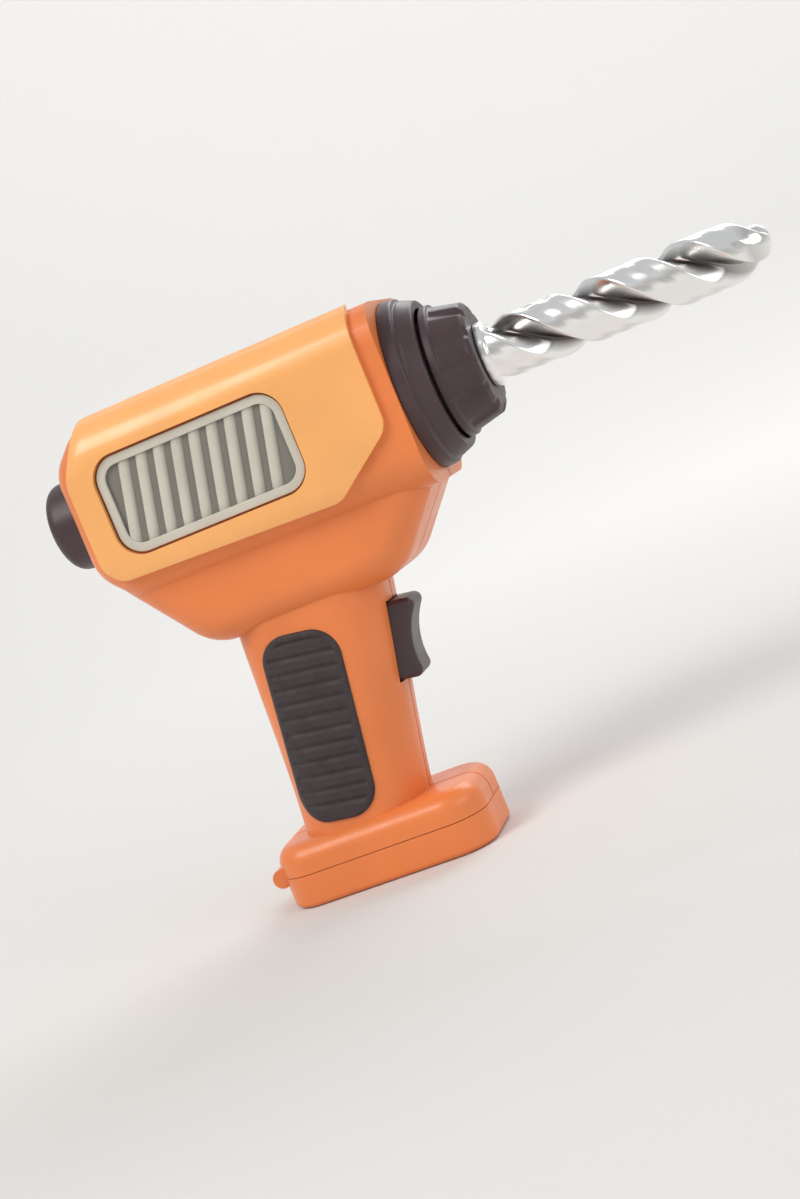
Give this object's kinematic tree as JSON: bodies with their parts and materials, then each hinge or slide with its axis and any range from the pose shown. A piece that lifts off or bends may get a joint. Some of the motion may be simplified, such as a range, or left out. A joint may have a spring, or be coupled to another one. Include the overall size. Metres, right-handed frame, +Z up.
{
  "type": "toy power drill",
  "caption": "Battery toy power drill with a turning chuck and a blunt pull-out twist bit, geared motor, sprung trigger and hinged battery door in the foot.",
  "frame": {"origin": "on the foot's flat underside, below the middle of the handle", "axes": "+X along the bit towards its tip, +Z up, +Y to the drill's left"},
  "size_m": [0.2, 0.0502, 0.1409],
  "materials": {
    "orange_plastic": "moulded orange plastic, slightly glossy",
    "amber_plastic": "moulded light amber plastic, slightly glossy",
    "grey_plastic": "pale warm grey moulded plastic",
    "dark_rubber": "dark soft rubber",
    "dark_plastic": "plum-black moulded plastic",
    "trigger_plastic": "plum-black moulded plastic",
    "chromed_plastic": "plastic with a vacuum-plated silver skin",
    "white_plastic": "natural white plastic",
    "gearbox_plastic": "black plastic",
    "zinc_steel": "zinc plated",
    "plain_steel": "plain steel",
    "magnet_iron": "dark ferrite and iron",
    "brass": "plain brass",
    "cell_jacket": null,
    "red_insulation": "wire insulation",
    "black_insulation": "wire insulation",
    "blue_insulation": "wire insulation"
  },
  "bodies": {
    "housing": {"housing_left": "orange_plastic", "housing_right": "orange_plastic", "side_panel_left": "amber_plastic", "side_panel_right": "amber_plastic", "vent_grille_left": "grey_plastic", "vent_grille_right": "grey_plastic", "grip_left": "dark_rubber", "grip_right": "dark_rubber", "rear_cap": "dark_plastic", "nose_collar": "dark_plastic", "nose_bushing": "white_plastic", "spindle_bushing": "white_plastic", "gearbox_rear_plate": "gearbox_plastic", "gearbox_front_plate": "gearbox_plastic", "switch_base": "gearbox_plastic", "motor_end_bell": "gearbox_plastic", "housing_screws": "zinc_steel", "gearbox_screws": "zinc_steel", "compound_shaft": "plain_steel", "door_hinge_pin": "plain_steel", "motor_can": "plain_steel", "trigger_spring": "plain_steel", "cell_contact_left": "plain_steel", "cell_contact_right": "plain_steel", "motor_magnets": "magnet_iron", "motor_terminals": "brass", "switch_leaf": "brass", "switch_contact": "brass", "cell_left": "cell_jacket", "cell_right": "cell_jacket", "wire_red": "red_insulation", "wire_black": "black_insulation", "wire_blue": "blue_insulation"},
    "chuck": {"chuck": "dark_plastic", "chuck_screw": "zinc_steel", "output_spindle": "plain_steel", "output_gear": "white_plastic"},
    "bit": {"drill_bit": "chromed_plastic"},
    "layshaft_gear": {"compound_gear": "white_plastic"},
    "armature": {"motor_armature": "magnet_iron", "motor_shaft": "plain_steel", "motor_pinion": "brass"},
    "trigger": {"trigger": "trigger_plastic"},
    "door": {"battery_door": "orange_plastic", "battery_bridge": "plain_steel", "door_screw": "zinc_steel"}
  },
  "joints": [
    {"name": "motor_spin", "type": "hinge", "parent": "housing", "child": "armature", "pos_m": [0, 0, 0.116], "axis": [1, 0, 0], "continuous": true},
    {"name": "compound_spin", "type": "hinge", "parent": "housing", "child": "layshaft_gear", "pos_m": [0, 0, 0.1035], "axis": [1, 0, 0], "continuous": true},
    {"name": "chuck_spin", "type": "hinge", "parent": "housing", "child": "chuck", "pos_m": [0, 0, 0.116], "axis": [1, 0, 0], "continuous": true},
    {"name": "bit_pull", "type": "slide", "parent": "chuck", "child": "bit", "axis": [1, 0, 0], "range_m": [0, 0.014]},
    {"name": "trigger_pull", "type": "slide", "parent": "housing", "child": "trigger", "axis": [-0.9903, 0, 0.1392], "range_m": [0, 0.005], "stiffness_N_per_m": 400, "springref_m": -0.002, "deforming": ["trigger_spring"]},
    {"name": "battery_door_hinge", "type": "hinge", "parent": "housing", "child": "door", "pos_m": [-0.025, 0, 0.009], "axis": [0, 1, 0], "range_deg": [0, 105]}
  ],
  "couplings": [
    {"joint": "compound_spin", "follows": "motor_spin", "ratio": -0.25},
    {"joint": "chuck_spin", "follows": "motor_spin", "ratio": 0.078947}
  ]
}
